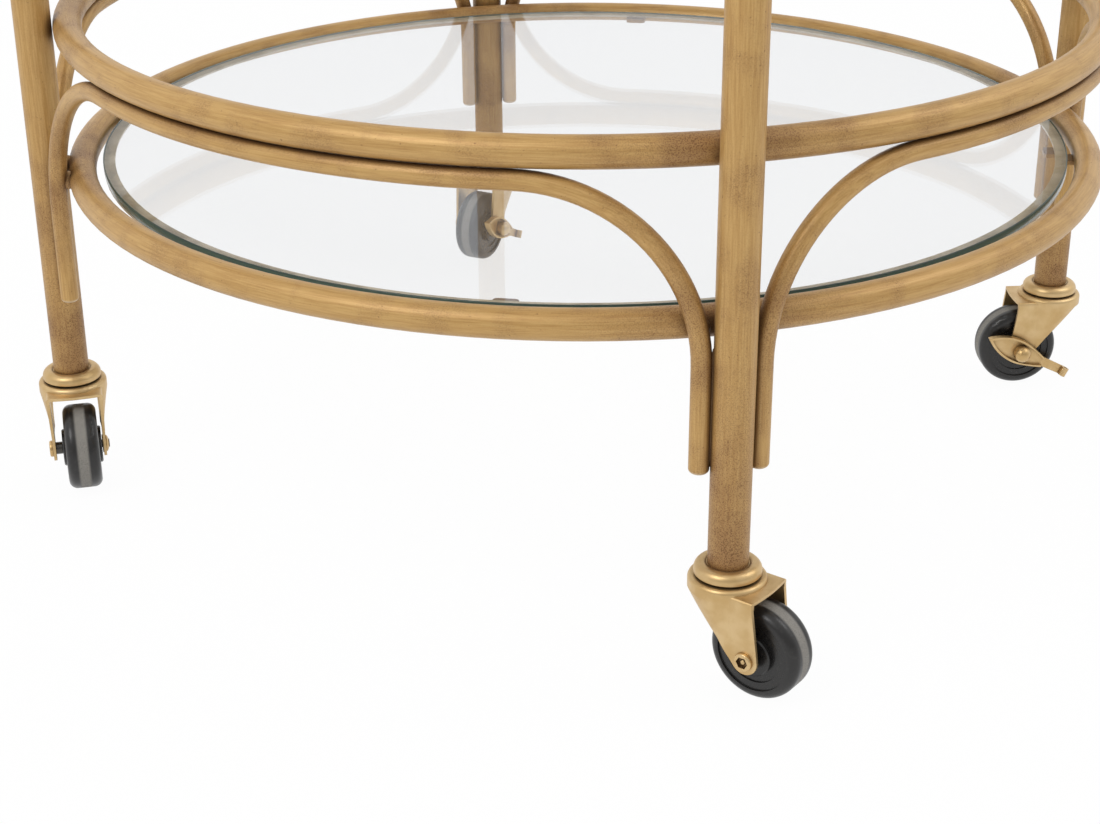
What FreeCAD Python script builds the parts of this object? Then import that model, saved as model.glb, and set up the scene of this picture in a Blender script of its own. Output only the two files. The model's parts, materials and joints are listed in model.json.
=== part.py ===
import FreeCAD, Part
import math
import os

# A round two-tier dessert trolley: welded metal tube frame, two glass discs
# lying in rings, and four swivel casters, two of them with a side brake.
# Millimetres and degrees, +Z up. The origin is on the floor at the middle of
# the trolley. The front leg stands at -Y, the right leg at +X.

# ---- Frame ----
leg_dia = 25.4
leg_wall = 1.6
leg_circle_radius = 387.0
leg_bottom_z = 83.0
leg_above_gallery = 22.5
ring_dia = 19.8
ring_wall = 1.2
vent_dia = 3.0
weld_gap = 0.3
lower_shelf_z = 233.0
tier_spacing = 440.0
gallery_rise = 104.5

# ---- Hoops ----
rod_dia = 12.7
hoop_bend_radius = 110.0
hoop_ring_gap = 1.8
hoop_end_drop = 90.0
hoop_end_rounding = 3.0

# ---- Welds ----
cross_weld_radius = 6.5
side_weld_radius = 3.2
side_weld_length = 20.0
side_weld_drops = (27.0, 72.0)
run_weld_angle = 20.0

# ---- Leg caps ----
cap_rim_height = 2.0
cap_dome_height = 6.0
cap_spigot_length = 14.0
cap_fit = 0.1

# ---- Glass and what carries it ----
glass_thickness = 6.0
glass_top_above_ring = 6.0
glass_gap = 5.0
glass_chamfer = 0.8
tab_count = 4
tab_angle = -21.0
tab_reach = 16.0
tab_width = 16.0
tab_thickness = 3.0
tab_corner = 3.0
strip_width = 8.0
strip_height = 1.5
strip_inset = 0.4

# ---- Caster ----
wheel_dia = 62.0
wheel_width = 24.0
wheel_trail = 25.0
wheel_offset = 2.0
shoulder_radius = 6.0
tyre_depth = 8.5
tyre_side_lip = 1.8
hub_dia = 27.0
hub_width = 28.0
hub_bevel = 0.8
core_web_width = 19.6
core_step_width = 21.6
core_step_radius = 19.0
bush_outer_dia = 10.0
bush_clearance = 0.05
axle_dia = 6.0
axle_head_dia = 12.0
axle_head_height = 2.6
rivet_recess_dia = 7.0
rivet_recess_depth = 2.0
rivet_roll_radius = 1.2
rivet_rim_height = 0.8
spacer_dia = 9.0
washer_dia = 13.0
side_play = 0.3

fork_plate = 2.0
fork_inside = 34.0
fork_head_dia = 49.0
fork_top_z = 75.5
fork_race_z = 74.0
fork_lip_z = 72.5
fork_lip_reach = 29.5
fork_lip_bow = 1.5
fork_shoulder = 3.0
fork_bevel = 1.0
fork_rim_slope = 1.5
fork_skirt_z = 67.5
fork_foot_radius = 9.0
fork_rear_x = -17.0
fork_crease_x = 14.0
fork_throat_x = -8.0
race_groove_dia = 33.0

collar_dia = 42.0
collar_skirt_z = 76.8
collar_seat_dia = 26.8
collar_bead_rise = 0.8
collar_wall = 1.6
collar_bevel = 1.0
collar_edge_bevel = 0.4
collar_bead_inner = 2.2
collar_bead_outer = 1.3
collar_bead_drop = 1.6
collar_bead_depth = 5.0
collar_bead_hollow = 0.25

ball_dia = 5.0
ball_count = 14
ball_circle_radius = 13.0
ball_gap = 0.1
cup_gap = 0.3

stem_dia = 10.0
stem_clearance = 0.05
stem_ring_dia = 11.0
stem_ring_height = 3.0
pin_head_dia = 16.0
pin_head_height = 3.0
pin_head_rounding = 1.2
plug_length = 34.0

# ---- Brake lever ----
lever_plate = 1.6
lever_leaf_length = 31.0
lever_tail_length = 40.0
lever_leaf_width = 19.0
lever_neck_width = 7.6
lever_tail_width = 7.0
lever_flange = 3.2
lever_tilt = 26.0
lever_curl_radius = 3.0
lever_boss_dia = 16.0
lever_clearance = 0.05
lever_boss_height = 1.5
lever_neck_x = -20.0
lever_bulge_share = 0.55
lever_belly_share = 0.82
lever_cheek_share = 0.72
nut_dia = 13.0
nut_height = 10.0
nut_barrel_height = 5.0
nut_thread_share = 0.6

# Casters: which way each leg stands, which way its wheel trails, brake or not.
legs = {
    "front": {"turn": -90.0, "trail": -49.0, "brake": False},
    "right": {"turn": 0.0, "trail": 172.0, "brake": True},
    "back": {"turn": 90.0, "trail": 232.0, "brake": True},
    "left": {"turn": 180.0, "trail": 271.5, "brake": False},
}
tiers = {
    "lower": lower_shelf_z,
    "upper": lower_shelf_z + tier_spacing,
}

# ---- Worked out from the sizes above ----
leg_spacing = 360 / len(legs)
half_spacing = leg_spacing / 2
leg_radius = leg_dia / 2
leg_bore = leg_radius - leg_wall
ring_radius = ring_dia / 2
rod_radius = rod_dia / 2
ring_centre_radius = leg_circle_radius - leg_radius - ring_radius - weld_gap
ring_inside = ring_centre_radius - ring_radius
leg_top_z = tiers["upper"] + gallery_rise + leg_above_gallery
hoop_down_radius = ring_centre_radius + ring_radius + hoop_ring_gap + rod_radius
hoop_run_radius = math.sqrt(hoop_down_radius ** 2 - hoop_bend_radius ** 2)
glass_radius = ring_inside - glass_gap
wheel_radius = wheel_dia / 2
tyre_bore = wheel_radius - tyre_depth
axle_radius = axle_dia / 2
bush_bore = axle_radius + bush_clearance
plate_outside = fork_inside / 2 + fork_plate
head_radius = fork_head_dia / 2
lever_y = plate_outside + side_play + lever_boss_height
nut_y = lever_y + lever_plate + side_play
collar_under_z = fork_race_z + ball_gap + ball_dia + cup_gap
UP = FreeCAD.Vector(0, 0, 1)
EXTRA = 5.0
SMALL = 0.01
EIGHTH_TURN = math.pi / 4
HEXAGON_SIDES = 6

os.makedirs("parts", exist_ok=True)


def vec(x, y, z):
    return FreeCAD.Vector(x, y, z)


def around(radius, turn, z):
    angle = math.radians(turn)
    return vec(radius * math.cos(angle), radius * math.sin(angle), z)


def turned(shape, turn):
    """A copy of the shape, turned about the trolley's middle."""
    copy = shape.copy()
    copy.rotate(vec(0, 0, 0), UP, turn)
    return copy


def moved(shape, place):
    copy = shape.copy()
    copy.translate(place)
    return copy


def cylinder(radius, low, high):
    return Part.makeCylinder(radius, high - low, vec(0, 0, low))


def sleeve(outer, inner, low, high):
    return cylinder(outer, low, high).cut(cylinder(inner, low - EXTRA, high + EXTRA))


def line(start, end):
    return Part.LineSegment(start, end).toShape()


def arc(start, middle, end):
    return Part.Arc(start, middle, end).toShape()


def turned_profile(points):
    """A solid of revolution about Z from (radius, z) corners. A corner with a
    third value, (radius, z, True), is the middle of an arc."""
    places = [vec(p[0], 0, p[1]) for p in points]
    is_middle = [len(p) == 3 for p in points]
    count = len(points)
    edges = []
    for i in range(count):
        after = (i + 1) % count
        if is_middle[i]:
            edges.append(arc(places[i - 1], places[i], places[after]))
        elif not is_middle[after]:
            edges.append(line(places[i], places[after]))
    face = Part.Face(Part.Wire(edges))
    return face.revolve(vec(0, 0, 0), UP, 360)


def dome(radius, base, height):
    """The last two corners of a domed profile: a point on the cap and its top."""
    sphere = (radius ** 2 + height ** 2) / (2 * height)
    low = base + height - sphere
    lean = math.atan2(radius, base - low) / 2
    return [(sphere * math.sin(lean), low + sphere * math.cos(lean), True), (0, base + height)]


def laid_over(shape):
    """Turns a piece made along Z so that it lies along the axle, +Z to +Y."""
    copy = shape.copy()
    copy.rotate(vec(0, 0, 0), vec(1, 0, 0), -90)
    return copy


def save(name, shapes):
    if isinstance(shapes, list):
        shape = Part.makeCompound(shapes)
    else:
        shape = shapes
    shape.exportStep(os.path.join("parts", name + ".step"))
    print(name, len(shape.Solids), round(shape.Volume, 1), shape.isValid())


# ---------------------------------------------------------------- frame tubes

def leg_tube():
    return moved(sleeve(leg_radius, leg_bore, leg_bottom_z, leg_top_z), around(leg_circle_radius, 0, 0))


def leg_cap():
    """Domed plug that closes a leg's upper end."""
    spigot = leg_bore - cap_fit
    low = leg_top_z - cap_spigot_length
    shoulder = leg_top_z + cap_rim_height
    profile = [(0, low), (spigot, low), (spigot, leg_top_z), (leg_radius, leg_top_z)]
    profile += [(leg_radius, shoulder)] + dome(leg_radius, shoulder, cap_dome_height)
    return moved(turned_profile(profile), around(leg_circle_radius, 0, 0))


def ring_tube(z):
    """Rolled and butt-welded tube with a vent hole on its underside."""
    middle = vec(0, 0, z)
    ring = Part.makeTorus(ring_centre_radius, ring_radius, middle)
    hollow = Part.makeTorus(ring_centre_radius, ring_radius - ring_wall, middle)
    under = around(ring_centre_radius, half_spacing, z - ring_radius - EXTRA)
    vent = Part.makeCylinder(vent_dia / 2, ring_radius, under)
    return ring.cut(hollow).cut(vent)


def hoop_down_turn():
    """How far a hoop's upright ends are turned from its middle: each stands
    beside its leg, at the weld gap."""
    touch = leg_radius + rod_radius + weld_gap
    sides = leg_circle_radius ** 2 + hoop_down_radius ** 2 - touch ** 2
    return half_spacing - math.degrees(math.acos(sides / (2 * leg_circle_radius * hoop_down_radius)))


def hoop_run_z(shelf_z):
    """Height of a hoop's run, which lies under the gallery ring."""
    stack = ring_radius + rod_radius + weld_gap
    aside = hoop_run_radius - ring_centre_radius
    return shelf_z + gallery_rise - math.sqrt(stack ** 2 - aside ** 2)


def hoop_bend(side, down, bend, run_z):
    """One quarter bend, as (lower end, middle, upper end)."""
    upper = around(hoop_run_radius, side * bend, run_z)
    lower = vec(down.x, down.y, run_z - hoop_bend_radius)
    centre = vec(upper.x, upper.y, run_z - hoop_bend_radius)
    aside = (lower - centre) * math.cos(EIGHTH_TURN)
    middle = centre + aside + UP * hoop_bend_radius * math.sin(EIGHTH_TURN)
    return lower, middle, upper


def hoop(shelf_z):
    """Bent rod, centred on +X: up beside one leg, along under the gallery
    ring, and down beside the next leg."""
    down_turn = hoop_down_turn()
    bend_turn = down_turn - math.degrees(math.atan2(hoop_bend_radius, hoop_run_radius))
    run_z = hoop_run_z(shelf_z)
    end_z = shelf_z - hoop_end_drop
    foot_a = around(hoop_down_radius, -down_turn, end_z)
    foot_b = around(hoop_down_radius, down_turn, end_z)
    low_a, mid_a, top_a = hoop_bend(-1, foot_a, bend_turn, run_z)
    low_b, mid_b, top_b = hoop_bend(1, foot_b, bend_turn, run_z)
    crown = vec(hoop_run_radius, 0, run_z)
    path = Part.Wire([
        line(foot_a, low_a),
        arc(low_a, mid_a, top_a),
        arc(top_a, crown, top_b),
        arc(top_b, mid_b, low_b),
        line(low_b, foot_b),
    ])
    section = Part.Wire(Part.makeCircle(rod_radius, foot_a, UP))
    rod = path.makePipeShell([section], True, False)
    ends = [e for e in rod.Edges if abs(e.BoundBox.ZMax - end_z) < SMALL]
    return rod.makeFillet(hoop_end_rounding, ends)


# --------------------------------------------------------------------- welds

def weld_at(place, radius, neighbours):
    """Bead that fills the corner round the place where tubes meet."""
    bead = Part.makeSphere(radius, place)
    for neighbour in neighbours:
        bead = bead.cut(neighbour)
    return largest(bead)


def weld_along(place, direction, neighbours):
    """Short bead laid along two rods that lie side by side."""
    start = place - direction * (side_weld_length / 2)
    bead = Part.makeCylinder(side_weld_radius, side_weld_length, start, direction)
    for neighbour in neighbours:
        bead = bead.cut(neighbour)
    return largest(bead)


def largest(shape):
    return max(shape.Solids, key=lambda solid: solid.Volume)


def tier_welds(shelf_z, leg, shelf_ring, gallery_ring, bent_rod):
    """All beads of one tier, made for one quarter and turned to the others."""
    touch = leg_circle_radius - leg_radius - weld_gap / 2
    quarter = [
        weld_at(around(touch, 0, shelf_z), cross_weld_radius, [leg, shelf_ring]),
        weld_at(around(touch, 0, shelf_z + gallery_rise), cross_weld_radius, [leg, gallery_ring]),
    ]
    for side in (-1, 1):
        rod = turned(bent_rod, side * half_spacing)
        quarter += hoop_welds(side, shelf_z, rod, leg, shelf_ring, gallery_ring)
    beads = []
    for step in range(len(legs)):
        beads += [turned(bead, leg_spacing * step) for bead in quarter]
    return beads


def hoop_welds(side, shelf_z, rod, leg, shelf_ring, gallery_ring):
    """Beads at one end of a hoop: two to the leg, one to the shelf ring and
    one under the gallery ring."""
    turn = side * (half_spacing - hoop_down_turn())
    leg_axis = around(leg_circle_radius, 0, 0)
    to_rod = (around(hoop_down_radius, turn, 0) - leg_axis).normalize()
    beside_leg = leg_axis + to_rod * (leg_radius + weld_gap / 2)
    beads = [weld_along(beside_leg + UP * (shelf_z - drop), UP, [leg, rod]) for drop in side_weld_drops]
    ring_outside = ring_centre_radius + ring_radius
    between = ring_outside + hoop_ring_gap / 2
    beads.append(weld_at(around(between, turn, shelf_z), cross_weld_radius, [rod, shelf_ring, leg]))
    beads.append(run_weld(side, rod, gallery_ring, shelf_z))
    return beads


def run_weld(side, rod, gallery_ring, shelf_z):
    """Bead between a hoop's run and the gallery ring above it."""
    turn = side * (half_spacing - run_weld_angle)
    ring_axis = around(ring_centre_radius, turn, shelf_z + gallery_rise)
    run_axis = around(hoop_run_radius, turn, hoop_run_z(shelf_z))
    downward = (run_axis - ring_axis).normalize()
    place = ring_axis + downward * (ring_radius + weld_gap / 2)
    along = UP.cross(around(1, turn, 0))
    return weld_along(place, along, [rod, gallery_ring])


# ------------------------------------------------------- glass and its seats

def glass_disc(shelf_z):
    top = shelf_z + glass_top_above_ring
    low = top - glass_thickness
    edge = glass_radius - glass_chamfer
    profile = [(0, low), (edge, low), (glass_radius, low + glass_chamfer)]
    profile += [(glass_radius, top - glass_chamfer), (edge, top), (0, top)]
    return turned_profile(profile)


def tab_places():
    return [tab_angle + 360 / tab_count * i for i in range(tab_count)]


def tab_top(shelf_z):
    return shelf_z + glass_top_above_ring - glass_thickness - strip_height


def support_tab(shelf_z, shelf_ring):
    """Flat tab welded inside the shelf ring, made at +X."""
    inner = glass_radius - tab_reach
    low = tab_top(shelf_z) - tab_thickness
    length = ring_inside + ring_radius / 2 - inner
    tab = Part.makeBox(length, tab_width, tab_thickness, vec(inner, -tab_width / 2, low))
    corners = [e for e in tab.Edges if e.BoundBox.XMax < inner + SMALL and e.BoundBox.ZLength > SMALL]
    tab = tab.makeFillet(tab_corner, corners)
    return largest(tab.cut(shelf_ring))


def soft_strip(shelf_z):
    """Soft clear strip under the glass's edge, all the way round, on the tabs."""
    seat = tab_top(shelf_z)
    outer = glass_radius - strip_inset
    return sleeve(outer, outer - strip_width, seat, seat + strip_height)


# -------------------------------------------------------------------- casters
# A caster is made about the Z axis at its real height, trailing towards +X,
# and its axle runs along Y. Then it is turned and put under its leg.

def plug():
    """Plug pressed into the leg's lower end, bored for the stem."""
    return sleeve(leg_bore, stem_dia / 2, leg_bottom_z, leg_bottom_z + plug_length)


def stem():
    """Stem, its grip ring above the plug, and the peened head that holds the fork."""
    head_top = fork_race_z - fork_plate - cup_gap
    grip_low = leg_bottom_z + plug_length
    rod = cylinder(stem_dia / 2, head_top - pin_head_height, grip_low + stem_ring_height)
    head = cylinder(pin_head_dia / 2, head_top - pin_head_height, head_top)
    rounded = [e for e in head.Edges if abs(e.BoundBox.ZMax - head_top + pin_head_height) < SMALL]
    head = head.makeFillet(pin_head_rounding, rounded)
    grip = cylinder(stem_ring_dia / 2, grip_low, grip_low + stem_ring_height)
    return rod.fuse([head, grip]).removeSplitter()


def collar():
    """Pressed collar with a rolled bead, on which the leg stands."""
    outer = collar_dia / 2
    inner = outer - collar_wall
    seat = collar_seat_dia / 2
    crest_z = leg_bottom_z + collar_bead_rise
    profile = [
        (stem_dia / 2, collar_under_z),
        (race_groove_dia / 2, collar_under_z),
        (inner, collar_under_z - collar_bevel),
        (inner, collar_skirt_z),
        (outer - collar_edge_bevel, collar_skirt_z),
        (outer, collar_skirt_z + collar_edge_bevel),
        (outer, crest_z - collar_bead_depth),
        (outer - collar_bead_outer, crest_z - collar_bead_drop, True),
        (seat + collar_bead_inner, crest_z),
        (seat + collar_bead_inner / 3, crest_z - collar_bead_hollow, True),
        (seat, leg_bottom_z),
        (stem_dia / 2, leg_bottom_z),
    ]
    return turned_profile(profile)


def ball_race():
    z = fork_race_z + ball_gap + ball_dia / 2
    places = [around(ball_circle_radius, 360 / ball_count * i, z) for i in range(ball_count)]
    return [Part.makeSphere(ball_dia / 2, place) for place in places]


def fork_head():
    """Round pressed head with its raised rim, rounded shoulder and short skirt."""
    inner = head_radius - fork_plate
    groove = race_groove_dia / 2
    rim_in = groove + fork_rim_slope
    rim_out = head_radius - fork_shoulder
    soft = fork_shoulder * (1 - math.cos(EIGHTH_TURN))
    profile = [
        (stem_dia / 2 + stem_clearance, fork_race_z - fork_plate),
        (inner - fork_bevel, fork_race_z - fork_plate),
        (inner, fork_race_z - fork_plate - fork_bevel),
        (inner, fork_skirt_z),
        (head_radius, fork_skirt_z),
        (head_radius, fork_top_z - fork_shoulder),
        (head_radius - soft, fork_top_z - soft, True),
        (rim_out, fork_top_z),
        (rim_in, fork_top_z),
        (groove, fork_race_z),
        (stem_dia / 2 + stem_clearance, fork_race_z),
    ]
    return turned_profile(profile)


def fork_side_outline():
    """Side view of the plates: slanted behind, nearly upright in front, and
    round about the axle."""
    foot = vec(wheel_trail, 0, wheel_radius)
    lip_x = fork_lip_reach + fork_lip_bow
    rear_top = vec(fork_rear_x, 0, fork_skirt_z)
    front_top = vec(fork_lip_reach, 0, fork_skirt_z)
    rear_foot = tangent_point(foot, rear_top, -1)
    front_foot = tangent_point(foot, front_top, 1)
    edges = [
        line(vec(fork_rear_x, 0, fork_lip_z), rear_top),
        line(rear_top, rear_foot),
        arc(rear_foot, foot - UP * fork_foot_radius, front_foot),
        line(front_foot, front_top),
        line(front_top, vec(lip_x, 0, fork_skirt_z)),
        line(vec(lip_x, 0, fork_skirt_z), vec(lip_x, 0, fork_lip_z)),
        line(vec(lip_x, 0, fork_lip_z), vec(fork_rear_x, 0, fork_lip_z)),
    ]
    return Part.Wire(edges)


def tangent_point(centre, outside, side):
    """Where a line from the outside point touches the plate's round foot."""
    away = outside - centre
    lean = math.acos(fork_foot_radius / away.Length)
    angle = math.atan2(away.z, away.x) - side * lean
    return centre + vec(math.cos(angle), 0, math.sin(angle)) * fork_foot_radius


def fork_plan(inset, front, throat, half_width, z):
    """Plan outline of the fork at one height: a lip in front, flat sides to
    the crease, and a round back."""
    corner = vec(front, -half_width + inset, z)
    flat_end = vec(fork_crease_x, -half_width + inset, z)
    far_corner = vec(front, half_width - inset, z)
    far_end = vec(fork_crease_x, half_width - inset, z)
    edges = [
        arc(corner, vec(front + fork_lip_bow, 0, z), far_corner),
        line(far_corner, far_end),
        arc(far_end, vec(throat + inset, 0, z), flat_end),
        line(flat_end, corner),
    ]
    return Part.Wire(edges)


def fork_shell(inset, front, top_z):
    """Solid whose sides are the pressed sheet's: a straight upper band, and
    below it sides that close in from the round head to the flat feet, which
    reach further forward than the lip."""
    low_z = wheel_radius - fork_foot_radius - EXTRA
    foot_top = wheel_radius + fork_foot_radius
    crease_width = math.sqrt((head_radius - inset) ** 2 - fork_crease_x ** 2)
    upper = fork_plan(0, front, inset - head_radius, crease_width, fork_skirt_z)
    lower = fork_plan(inset, front + fork_foot_radius, fork_throat_x, plate_outside, foot_top)
    band = Part.Face(upper).extrude(vec(0, 0, top_z - fork_skirt_z))
    flat_foot = Part.Face(lower).extrude(vec(0, 0, low_z - foot_top))
    return band.fuse([Part.makeLoft([lower, upper], True, True), flat_foot])


def fork_plates():
    """The two side plates and the lip between them, bent from one sheet."""
    outside = fork_shell(0, fork_lip_reach, fork_lip_z)
    top_edges = [e for e in outside.Edges if e.BoundBox.ZMin > fork_lip_z - SMALL]
    lip_edges = [e for e in top_edges if e.BoundBox.YLength < SMALL]
    outside = outside.makeFillet(fork_plate, lip_edges)
    inside = fork_shell(fork_plate, fork_lip_reach + fork_lip_bow + EXTRA, fork_lip_z - fork_plate)
    side = Part.Face(fork_side_outline())
    side.translate(vec(0, -head_radius - EXTRA, 0))
    return outside.cut(inside).common(side.extrude(vec(0, 2 * (head_radius + EXTRA), 0)))


def fork():
    head = fork_head()
    room = cylinder(head_radius - fork_plate / 2, fork_race_z - fork_plate - EXTRA, fork_top_z + EXTRA)
    body = head.fuse(fork_plates().cut(room))
    axle_hole = laid_over(cylinder(axle_radius, -wheel_dia, wheel_dia))
    body = body.cut(moved(axle_hole, vec(wheel_trail, 0, wheel_radius)))
    return largest(body.removeSplitter())


def on_axle(shape, aside=0.0):
    """Lays a piece made along Z on the axle, shifted along it."""
    return moved(laid_over(shape), vec(wheel_trail, aside, wheel_radius))


def axle(braked):
    """Axle with its heads, the spacer inside one plate and the washer inside
    the other. A braked caster's axle goes on through lever and nut."""
    near = -plate_outside
    far = plate_outside
    reach = far + axle_head_height
    if braked:
        reach = nut_y + nut_height * nut_thread_share
    shank = cylinder(axle_radius, near, reach)
    rolled = cylinder(axle_head_dia / 2, near - axle_head_height, near)
    end = near - axle_head_height
    lip = [e for e in rolled.Edges if abs(e.BoundBox.ZMax - end) < SMALL]
    rolled = rolled.makeFillet(rivet_roll_radius, lip)
    rolled = rolled.cut(hexagon_prism(rivet_recess_dia, end, end + rivet_recess_depth))
    pieces = [shank, rolled]
    if not braked:
        pieces.append(domed_head(far))
    rivet = pieces[0].fuse(pieces[1:]).removeSplitter()
    hub_near = wheel_offset - hub_width / 2
    hub_far = wheel_offset + hub_width / 2
    spacer = sleeve(spacer_dia / 2, axle_radius, -fork_inside / 2, hub_near - side_play)
    washer = sleeve(washer_dia / 2, axle_radius, hub_far + side_play, fork_inside / 2)
    return [on_axle(piece) for piece in (rivet, spacer, washer)]


def hexagon_prism(across, low, high):
    corner = across / 2 / math.cos(math.pi / HEXAGON_SIDES)
    points = [around(corner, 360 / HEXAGON_SIDES * i, low) for i in range(HEXAGON_SIDES + 1)]
    face = Part.Face(Part.makePolygon(points))
    return face.extrude(vec(0, 0, high - low))


def domed_head(base):
    """Rivet head with a domed top, standing on base."""
    radius = axle_head_dia / 2
    rim = base + rivet_rim_height
    cap = dome(radius, rim, base + axle_head_height - rim)
    return turned_profile([(0, base), (radius, base), (radius, rim)] + cap)


def wheel_core():
    """Moulded core: web with a step and hub bosses on both sides."""
    half_hub = hub_width / 2
    half_web = core_web_width / 2
    half_step = core_step_width / 2
    hub = hub_dia / 2
    bore = bush_outer_dia / 2
    upper = [
        (bore, half_hub),
        (hub - hub_bevel, half_hub),
        (hub, half_hub - hub_bevel),
        (hub, half_web),
        (core_step_radius, half_web),
        (core_step_radius, half_step),
        (tyre_bore, half_step),
    ]
    lower = [(r, -z) for r, z in reversed(upper)]
    return on_axle(turned_profile(upper + lower), wheel_offset)


def tyre():
    """Hard rubber tyre with rounded shoulders and a recessed side step."""
    half = wheel_width / 2
    half_step = core_step_width / 2
    soft = shoulder_radius * (1 - math.cos(EIGHTH_TURN))
    face = tyre_bore + tyre_side_lip
    upper = [
        (tyre_bore, half_step),
        (face, half_step),
        (face, half),
        (wheel_radius - shoulder_radius, half),
        (wheel_radius - soft, half - soft, True),
        (wheel_radius, half - shoulder_radius),
    ]
    lower = [tuple([p[0], -p[1]] + list(p[2:])) for p in reversed(upper)]
    return on_axle(turned_profile(upper + lower), wheel_offset)


def bush():
    return on_axle(sleeve(bush_outer_dia / 2, bush_bore, -hub_width / 2, hub_width / 2), wheel_offset)


# ---------------------------------------------------------------- side brake

def lever_outline(margin):
    """Plan of the stamped lever along X: pointed leaf, neck and tail. A
    positive margin gives the outline drawn in by that much."""
    leaf = lever_leaf_width / 2 - margin
    neck = lever_neck_width / 2 - margin
    tip = lever_leaf_length - 2 * margin
    waist = lever_neck_x
    tail_end = -lever_tail_length
    tail = lever_tail_width / 2 - margin
    front = tip * lever_bulge_share
    behind = waist * lever_bulge_share
    belly = leaf * lever_belly_share
    cheek = leaf * lever_cheek_share
    edges = [
        arc(vec(tip, 0, 0), vec(front, belly, 0), vec(0, leaf, 0)),
        arc(vec(0, leaf, 0), vec(behind, cheek, 0), vec(waist, neck, 0)),
        line(vec(waist, neck, 0), vec(tail_end, tail, 0)),
        line(vec(tail_end, tail, 0), vec(tail_end, -tail, 0)),
        line(vec(tail_end, -tail, 0), vec(waist, -neck, 0)),
        arc(vec(waist, -neck, 0), vec(behind, -cheek, 0), vec(0, -leaf, 0)),
        arc(vec(0, -leaf, 0), vec(front, -belly, 0), vec(tip, 0, 0)),
    ]
    return Part.Face(Part.Wire(edges))


def brake_lever():
    """Stamped lever: dished leaf round the pivot, plain tail with a curl."""
    blank = lever_outline(0).extrude(vec(0, 0, lever_plate + lever_flange))
    waist = lever_neck_x
    dish = lever_outline(lever_plate).extrude(vec(0, 0, lever_flange + EXTRA))
    edge_y = -lever_leaf_width / 2
    over = lever_flange + EXTRA
    leaf_side = Part.makeBox(lever_leaf_length - waist, lever_leaf_width, lever_flange + over,
                             vec(waist, edge_y, lever_plate))
    tail_side = Part.makeBox(lever_tail_length + waist + EXTRA, lever_leaf_width, over,
                             vec(-lever_tail_length - EXTRA, edge_y, lever_plate))
    lever = blank.cut(moved(dish, vec(0, 0, lever_plate)).common(leaf_side)).cut(tail_side)
    curl_axis = vec(-lever_tail_length, lever_tail_width / 2, lever_curl_radius)
    curl = Part.makeCylinder(lever_curl_radius, lever_tail_width, curl_axis, vec(0, -1, 0))
    curl_bore = Part.makeCylinder(lever_curl_radius - lever_plate, lever_tail_width + 2 * EXTRA,
                                  curl_axis + vec(0, EXTRA, 0), vec(0, -1, 0))
    boss = cylinder(lever_boss_dia / 2, -lever_boss_height, lever_plate / 2)
    lever = lever.fuse([curl, boss]).cut(curl_bore)
    lever = lever.cut(cylinder(axle_radius + lever_clearance, -EXTRA, EXTRA + lever_flange))
    lever = largest(lever.removeSplitter())
    return place_lever(lever)


def place_lever(lever):
    """Stands the flat lever on the axle outside the far plate, tail down."""
    upright = lever.copy()
    upright.rotate(vec(0, 0, 0), vec(1, 0, 0), -90)
    upright.rotate(vec(0, 0, 0), vec(0, 1, 0), -lever_tilt)
    return moved(upright, vec(wheel_trail, lever_y, wheel_radius))


def brake_nut():
    """Domed nut on the end of a braked axle."""
    base = nut_y
    radius = nut_dia / 2
    shoulder = base + nut_barrel_height
    profile = [(0, base), (radius, base), (radius, shoulder)]
    body = turned_profile(profile + dome(radius, shoulder, base + nut_height - shoulder))
    bore = cylinder(axle_radius, base - EXTRA, base + nut_height * nut_thread_share)
    return on_axle(body.cut(bore))


def under_leg(shape, leg):
    """Turns a caster's piece to its trail and puts it under its leg."""
    return moved(turned(shape, leg["trail"]), around(leg_circle_radius, leg["turn"], 0))


# ---------------------------------------------------------------- assembling

def make_frame():
    one_leg = leg_tube()
    for name, leg in legs.items():
        save("leg_" + name, turned(one_leg, leg["turn"]))
    save("leg_caps", [turned(leg_cap(), leg["turn"]) for leg in legs.values()])
    for tier, shelf_z in tiers.items():
        make_tier(tier, shelf_z, one_leg)


def make_tier(tier, shelf_z, one_leg):
    shelf_ring = ring_tube(shelf_z)
    gallery_ring = ring_tube(shelf_z + gallery_rise)
    save(tier + "_shelf_ring", shelf_ring)
    save(tier + "_gallery_ring", gallery_ring)
    bent_rod = hoop(shelf_z)
    names = list(legs)
    for i, name in enumerate(names):
        following = names[(i + 1) % len(names)]
        middle = legs[name]["turn"] + half_spacing
        save(tier + "_hoop_" + name + "_" + following, turned(bent_rod, middle))
    save(tier + "_weld_beads", tier_welds(shelf_z, one_leg, shelf_ring, gallery_ring, bent_rod))
    save(tier + "_glass_shelf", glass_disc(shelf_z))
    tab = support_tab(shelf_z, shelf_ring)
    save(tier + "_glass_tabs", [turned(tab, turn) for turn in tab_places()])
    save(tier + "_glass_strip", soft_strip(shelf_z))


def make_casters():
    save("caster_plugs", [under_leg(plug(), leg) for leg in legs.values()])
    save("caster_stems", [under_leg(stem(), leg) for leg in legs.values()])
    save("caster_collars", [under_leg(collar(), leg) for leg in legs.values()])
    for name, leg in legs.items():
        save("ball_race_" + name, [under_leg(ball, leg) for ball in ball_race()])
        save("fork_" + name, under_leg(fork(), leg))
        save("axle_" + name, [under_leg(piece, leg) for piece in axle(leg["brake"])])
        save("wheel_core_" + name, under_leg(wheel_core(), leg))
        save("tyre_" + name, under_leg(tyre(), leg))
        save("wheel_bush_" + name, under_leg(bush(), leg))
        if leg["brake"]:
            save("brake_lever_" + name, under_leg(brake_lever(), leg))
            save("brake_nut_" + name, under_leg(brake_nut(), leg))


make_frame()
make_casters()
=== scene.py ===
import bpy
import bmesh
import json
import math
from mathutils import Matrix, Vector


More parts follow.
